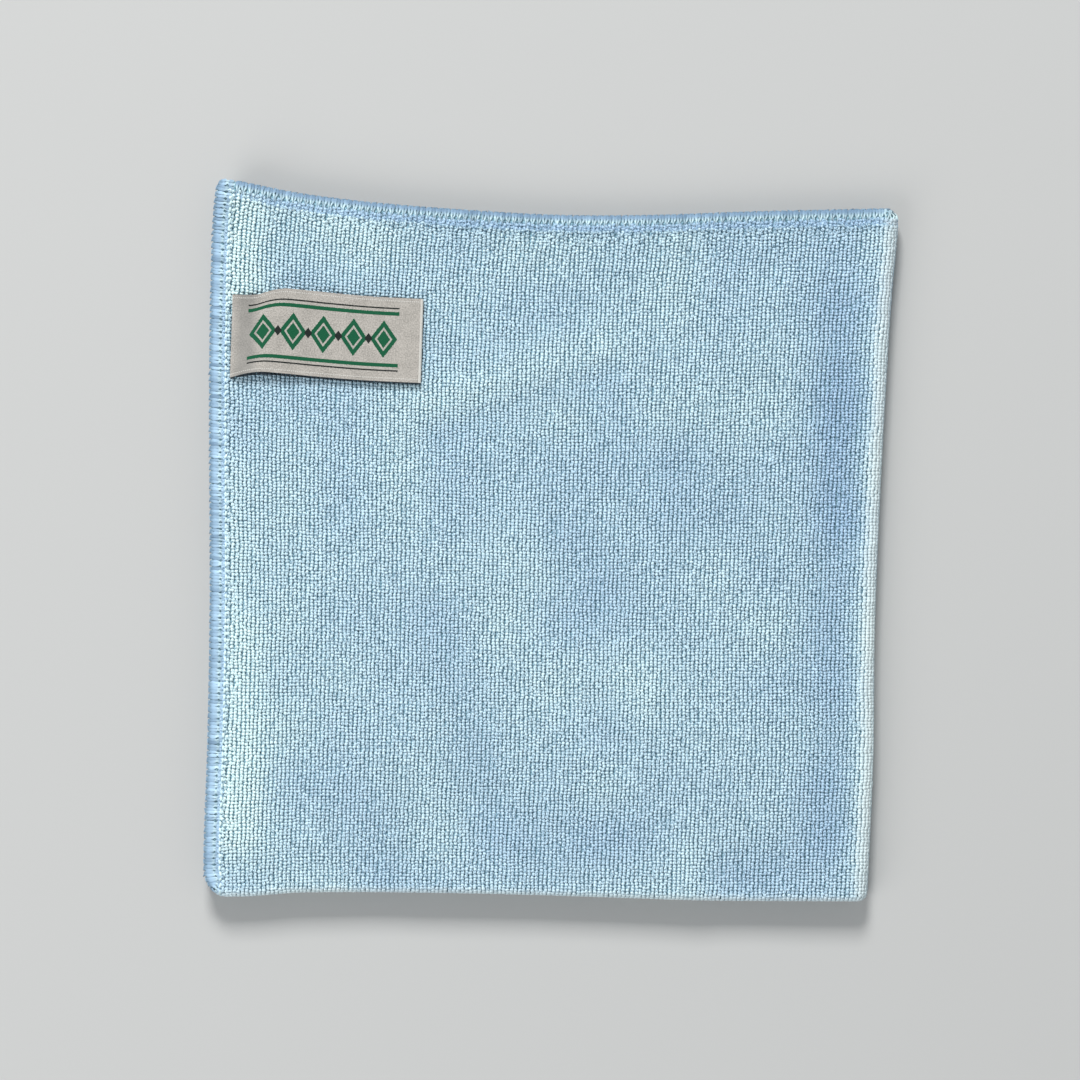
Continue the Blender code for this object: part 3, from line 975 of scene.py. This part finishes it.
def label_place(share, side, height):
    """Places on the label at a share of its length, across its width and over its middle."""
    sway, rise = label_course(share, side)
    sideways = side * LABEL_WIDTH / 2 + sway
    x = LABEL_ROOT.x + LABEL_DIRECTION[0] * LABEL_LENGTH * share - LABEL_DIRECTION[1] * sideways
    y = LABEL_ROOT.y + LABEL_DIRECTION[1] * LABEL_LENGTH * share + LABEL_DIRECTION[0] * sideways
    tuck = -LABEL_TUCK * (1 - smooth_step(share, 0.0, 0.055))
    base = top_of_cloth(x, y) + LABEL_CLEARANCE + LABEL_THICKNESS / 2
    return np.stack([x, y, base + rise + tuck + height], axis=-1)


def make_label():
    """The label: a ribbon folded in half at its free end, its two cut ends caught in the hem."""
    label, from_fold, side = flat_sheet("ribbon_label", *LABEL_CELLS)
    # Rows are closer together towards the fold
    position = np.sign(from_fold) * np.abs(from_fold) ** 1.6
    distance = position * (LABEL_LENGTH - RIBBON_FOLD_RADIUS)
    reach, height = hairpin(distance, 0.0, RIBBON_FOLD_RADIUS)
    share = 1 + (reach - RIBBON_FOLD_RADIUS - RIBBON_THICKNESS / 2) / LABEL_LENGTH
    lay_sheet(label, label_place(share, side, height), (distance, side * LABEL_WIDTH / 2))
    thicken(label, thickness=RIBBON_THICKNESS, offset=0.0)
    bpy.ops.object.shade_smooth_by_angle(angle=math.radians(50))
    return label


def make_floor():
    bpy.ops.mesh.primitive_plane_add(size=FLOOR_SIZE, location=(0, 0, -FLOOR_DROP))
    floor = bpy.context.object
    floor.name = floor.data.name = "floor"
    select_only(floor)
    bpy.ops.object.transform_apply(location=True, rotation=True, scale=True)
    return floor


# ---------------------------------------------------------------- finishes

def adds_node(operation):
    """A method of Number that adds one Math node."""
    return lambda self, other=0.0: self.maths(operation, self, other)


class Number:
    """A number that varies over a surface. Sums and products of it add their Math nodes."""

    __add__ = __radd__ = adds_node("ADD")
    __sub__ = adds_node("SUBTRACT")
    __mul__ = __rmul__ = adds_node("MULTIPLY")
    __truediv__ = adds_node("DIVIDE")
    __lt__ = adds_node("LESS_THAN")
    __gt__ = adds_node("GREATER_THAN")
    __abs__ = adds_node("ABSOLUTE")
    wrapped = adds_node("FLOORED_MODULO")
    lesser = adds_node("MINIMUM")

    def __init__(self, finish, socket):
        self.finish = finish
        self.socket = socket

    def __rsub__(self, other):
        return self.maths("SUBTRACT", other, self)

    def maths(self, operation, first, second=0.0):
        made = self.finish.node("ShaderNodeMath", {"operation": operation}, {0: first, 1: second})
        return Number(self.finish, made.outputs[0])

    def wave(self, length):
        """From -1 to 1 and back once every length."""
        return self.maths("SINE", self * (2 * math.pi / length))

    def clamped(self):
        return self.maths("MINIMUM", self.maths("MAXIMUM", self, 0.0), 1.0)


class Finish:
    """A material, and one way to add any node to it."""

    def __init__(self, name, **constants):
        self.material = bpy.data.materials.new(name)
        self.material.use_nodes = True
        self.tree = self.material.node_tree
        self.shader = self.tree.nodes["Principled BSDF"]
        for socket, value in constants.items():
            self.shader.inputs[socket.replace("_", " ")].default_value = value

    def node(self, kind, settings, inputs):
        made = self.tree.nodes.new(kind)
        for name, value in settings.items():
            setattr(made, name, value)
        for key, value in inputs.items():
            self.feed(made.inputs[key], value)
        return made

    def feed(self, socket, value):
        if isinstance(value, Number):
            value = value.socket
        if isinstance(value, bpy.types.NodeSocket):
            self.tree.links.new(value, socket)
        else:
            socket.default_value = value

    def paint(self, socket, value):
        self.feed(self.shader.inputs[socket], value)

    def number(self, socket):
        return Number(self, socket)

    def attribute(self, name):
        made = self.node("ShaderNodeAttribute", {"attribute_name": name}, {})
        return self.number(made.outputs["Fac"])

    def noise(self, vector, scale, detail=2.0, roughness=0.5):
        inputs = {"Vector": vector, "Scale": scale, "Detail": detail, "Roughness": roughness}
        return self.number(self.node("ShaderNodeTexNoise", {}, inputs).outputs["Fac"])

    def place(self):
        return self.node("ShaderNodeTexCoord", {}, {}).outputs["Object"]

    def flat_place(self):
        """The two numbers of a place in the flat cloth."""
        flat = self.node("ShaderNodeUVMap", {"uv_map": "Flat"}, {}).outputs["UV"]
        parts = self.node("ShaderNodeSeparateXYZ", {}, {0: flat}).outputs
        return flat, self.number(parts[0]), self.number(parts[1])

    def mixed(self, first, second, share):
        made = self.node("ShaderNodeMix", {"data_type": "RGBA"}, {0: share, 6: first, 7: second})
        return made.outputs[2]

    def bump(self, height, distance, strength=1.0):
        made = self.node("ShaderNodeBump", {}, {"Height": height, "Distance": distance, "Strength": strength})
        self.paint("Normal", made.outputs[0])


def rgb(red, green, blue):
    """A colour from its display values, 0 to 255."""
    linear = [
        part / 12.92 if part <= 0.04045 else ((part + 0.055) / 1.055) ** 2.4
        for part in (red / 255, green / 255, blue / 255)
    ]
    return (*linear, 1.0)


PILE_LIGHT = rgb(229, 254, 253)
PILE_COOL = rgb(187, 217, 243)
PILE_SHEEN = rgb(232, 242, 240)
PALE_SHADE = rgb(164, 190, 198)
PILE_DARK = rgb(88, 126, 150)
DEEP_SHADE = rgb(24, 36, 52)
GAP_SHADE = rgb(66, 100, 114)
GAP_LIGHT = rgb(150, 190, 205)
THREAD_BLUE = rgb(161, 198, 232)
THREAD_SHADE = rgb(56, 84, 116)
SATIN = rgb(188, 182, 174)
SATIN_SHADE = rgb(144, 140, 133)
SATIN_SLOPE_SHADE = rgb(123, 122, 119)
SATIN_SELVEDGE_AND_HIGHLIGHT = rgb(217, 215, 208)
WOVEN_GREEN = rgb(8, 84, 54)
WOVEN_BLACK = rgb(26, 32, 30)

# The label's weave
WEFT_PITCH = 0.36 * MM
WARP_PITCH = 0.30 * MM
SELVEDGE_INSET = 11.55 * MM
SELVEDGE_PITCH = 0.62 * MM

# The ornament woven into it: a row of lozenges between two stripes. The opening in a lozenge's
# line is between two shares of its size, and fuzz is how far the threads blur an edge.
ORNAMENT_START = 7.0 * MM
ORNAMENT_END = 52.0 * MM
LOZENGE_PITCH = 9.0 * MM
LOZENGE_HALF = (4.1 * MM, 5.6 * MM)
LOZENGE_OPENING = (0.48, 0.64)
STUD_HALF = (1.2 * MM, 1.6 * MM)
STRIPE_INSET = 7.7 * MM
STRIPE_HALF = 0.55 * MM
HAIRLINE_INSET = 9.3 * MM
HAIRLINE_HALF = 0.22 * MM
ORNAMENT_FUZZ = 0.30 * MM


def pile_finish():
    finish = Finish("terry_pile", Roughness=0.85, Sheen_Weight=0.25, Sheen_Roughness=0.5)
    fibres = finish.noise(finish.place(), 2500.0, 0.0)
    # pale is the painted sheen on the folds: paler light, paler gaps and less speckle
    pale = finish.attribute("pale")
    # The fibres speckle the tone: partly the fibres' own variation, partly painted glints
    tone = finish.attribute("tone") + (fibres - 0.5) * (2.2 - pale * 1.4)
    light = finish.mixed(PILE_LIGHT, PILE_COOL, finish.attribute("cool"))
    light = finish.mixed(light, PILE_SHEEN, pale * 0.7)
    dark = finish.mixed(PILE_DARK, PALE_SHADE, pale * 0.8)
    pile = finish.mixed(dark, light, tone.clamped())
    label_shade = ((1.25 - finish.attribute("from_label")) * 3.0).clamped()
    finish.paint("Base Color", finish.mixed(pile, DEEP_SHADE, label_shade * 0.95))
    finish.bump(fibres, 0.14 * MM, 0.8)
    return finish.material


def ground_finish():
    """The ground knit: bright wales with dark gaps of painted shade between them, broken once a course."""
    finish = Finish("terry_ground", Roughness=0.9, Sheen_Weight=0.2)
    flat, across, along = finish.flat_place()
    wander = finish.noise(flat, 260.0, 2.0) - 0.5
    sway = finish.noise(flat, 420.0, 2.0) - 0.5
    fibres = finish.noise(flat, 5200.0, 3.0, 0.6)
    wale = (across + wander * (0.9 * MM)).wave(WALE_PITCH)
    course = (along + sway * (0.8 * MM)).wave(COURSE_PITCH)
    inset = (HALF_WIDTH - abs(across)).lesser(HALF_LENGTH - abs(along))
    hem = (1 - (inset - HEM_WIDTH) / (0.8 * MM)).clamped()
    loops = (wale * 0.30 + course * 0.22 + (fibres - 0.5) * 0.35 + 0.5 + hem * 0.1).clamped()
    finish.paint("Base Color", finish.mixed(GAP_SHADE, GAP_LIGHT, loops))
    finish.bump(loops, 0.5 * MM, 0.8)
    return finish.material


def thread_finish():
    finish = Finish("overlock_thread", Roughness=0.8, Sheen_Weight=0.3)
    fibres = finish.noise(finish.place(), 4200.0, 3.0, 0.6)
    tone = (finish.attribute("tone") + (fibres - 0.5) * 0.25).clamped()
    pale = finish.mixed(PILE_DARK, PILE_LIGHT, tone)
    blue = finish.mixed(THREAD_SHADE, THREAD_BLUE, tone)
    finish.paint("Base Color", finish.mixed(pale, blue, finish.attribute("blue") * 0.9))
    finish.bump(fibres, 0.06 * MM, 0.6)
    return finish.material


def ornament(along, across, fuzz):
    """Where the label is woven green, in lozenges and stripes, and where black, in studs and
    hairlines: on its upper face, short of both ends."""
    inside = (along > ORNAMENT_START) * (along < ORNAMENT_END)
    step = (along - ORNAMENT_START).wrapped(LOZENGE_PITCH)
    from_centre = abs(step - LOZENGE_PITCH / 2) + fuzz
    from_corner = LOZENGE_PITCH / 2 - from_centre
    from_middle = abs(across) + fuzz
    lozenge = from_centre / LOZENGE_HALF[0] + from_middle / LOZENGE_HALF[1]
    ring = (lozenge < 1.0) * (1 - (lozenge < LOZENGE_OPENING[1]) * (lozenge > LOZENGE_OPENING[0]))
    first_corner, last_corner = ORNAMENT_START + LOZENGE_PITCH / 2, ORNAMENT_END - LOZENGE_PITCH / 2
    between_ends = (along > first_corner) * (along < last_corner)
    stud = ((from_corner / STUD_HALF[0] + from_middle / STUD_HALF[1]) < 1.0) * between_ends
    stripe = abs(from_middle - STRIPE_INSET) < STRIPE_HALF
    hairline = abs(from_middle - HAIRLINE_INSET) < HAIRLINE_HALF
    return (ring + stripe).clamped() * inside, (stud + hairline).clamped() * inside


def satin_finish():
    finish = Finish("label_satin", Roughness=0.6, Specular_IOR_Level=0.2)
    # along is measured from the fold: above nought on the upper face
    flat, along, across = finish.flat_place()
    weft = along.wave(WEFT_PITCH)
    warp = across.wave(WARP_PITCH)
    slub = finish.noise(flat, 2400.0, 3.0, 0.7)
    patches = finish.noise(flat, 220.0, 2.0)
    weave = weft * 0.15 + warp * 0.12 + (slub - 0.5) * 3.8 + (patches - 0.5) * 0.9 + 0.55
    satin = finish.mixed(SATIN_SHADE, SATIN, weave.clamped())
    # Painted shade on the slope where it climbs out of the hem
    slope_shade = (1.5 - abs(LABEL_LENGTH - 4.6 * MM - abs(along)) / (2.9 * MM)).clamped()
    satin = finish.mixed(satin, SATIN_SLOPE_SHADE, slope_shade * 0.55)
    picks = along.wave(SELVEDGE_PITCH) > -0.3
    selvedge = (abs(abs(across) - SELVEDGE_INSET) < 0.13 * MM) * picks
    # The selvedge lines are woven; the light strip along the fold is a painted highlight
    fold = abs(along) < 0.75 * MM
    edges = (selvedge + fold).clamped()
    satin = finish.mixed(satin, SATIN_SELVEDGE_AND_HIGHLIGHT, edges * 0.7)
    green, black = ornament(along, across, (slub - 0.5) * ORNAMENT_FUZZ)
    colour = finish.mixed(satin, WOVEN_GREEN, green)
    colour = finish.mixed(colour, WOVEN_BLACK, black)
    finish.paint("Base Color", colour)
    finish.bump(weave + (green + black) * 0.5 + edges, 0.06 * MM, 0.6)
    return finish.material


def floor_finish():
    finish = Finish("pale_floor", Roughness=0.8)
    finish.paint("Base Color", rgb(188, 188, 186))
    return finish.material


# ---------------------------------------------------------------- camera and light

CAMERA_HEIGHT = 1.05
CAMERA_AIM = (-3.6 * MM, 0.3 * MM)
FRAME_WIDTH = 322.4 * MM
SENSOR = 36.0


def make_camera():
    bpy.ops.object.camera_add(location=(*CAMERA_AIM, CAMERA_HEIGHT), rotation=(0, 0, 0))
    camera = bpy.context.object
    camera.name = "camera"
    camera.data.sensor_width = SENSOR
    camera.data.lens = SENSOR * (CAMERA_HEIGHT - SHEET.stack - SHEET_THICKNESS) / FRAME_WIDTH
    camera.data.clip_start = 0.01
    bpy.context.scene.camera = camera


def make_light(name, location, size, power):
    bpy.ops.object.light_add(type="AREA", location=location)
    light = bpy.context.object
    light.name = name
    light.data.size = size
    light.data.energy = power
    light.rotation_euler = Vector(location).to_track_quat("Z", "Y").to_euler()


def make_studio():
    scene = bpy.context.scene
    scene.view_settings.view_transform = "Standard"
    world = bpy.data.worlds.new("studio")
    world.use_nodes = True
    background = world.node_tree.nodes["Background"]
    background.inputs["Color"].default_value = (0.90, 0.95, 1.0, 1.0)
    background.inputs["Strength"].default_value = 0.42
    scene.world = world
    make_light("key_light", (-0.3, 2.1, 1.7), 0.8, 75.0)
    make_light("fill_light", (-0.8, -0.7, 0.85), 1.0, 7.4)


def finish_piece(piece, material):
    piece.data.materials.clear()
    piece.data.materials.append(material)
    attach(piece, BODY)


def main():
    template = loop_template()
    make_camera()
    make_studio()
    ground = make_ground()
    piles = make_piles(template)
    stitching = make_overlock(template)
    label = make_label()
    floor = make_floor()

    finish_piece(ground, ground_finish())
    pile_material = pile_finish()
    for piece in piles:
        finish_piece(piece, pile_material)
    thread_material = thread_finish()
    for piece in stitching:
        finish_piece(piece, thread_material)
    finish_piece(label, satin_finish())
    floor.data.materials.append(floor_finish())

    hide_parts("cloth")
    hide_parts("label")


main()
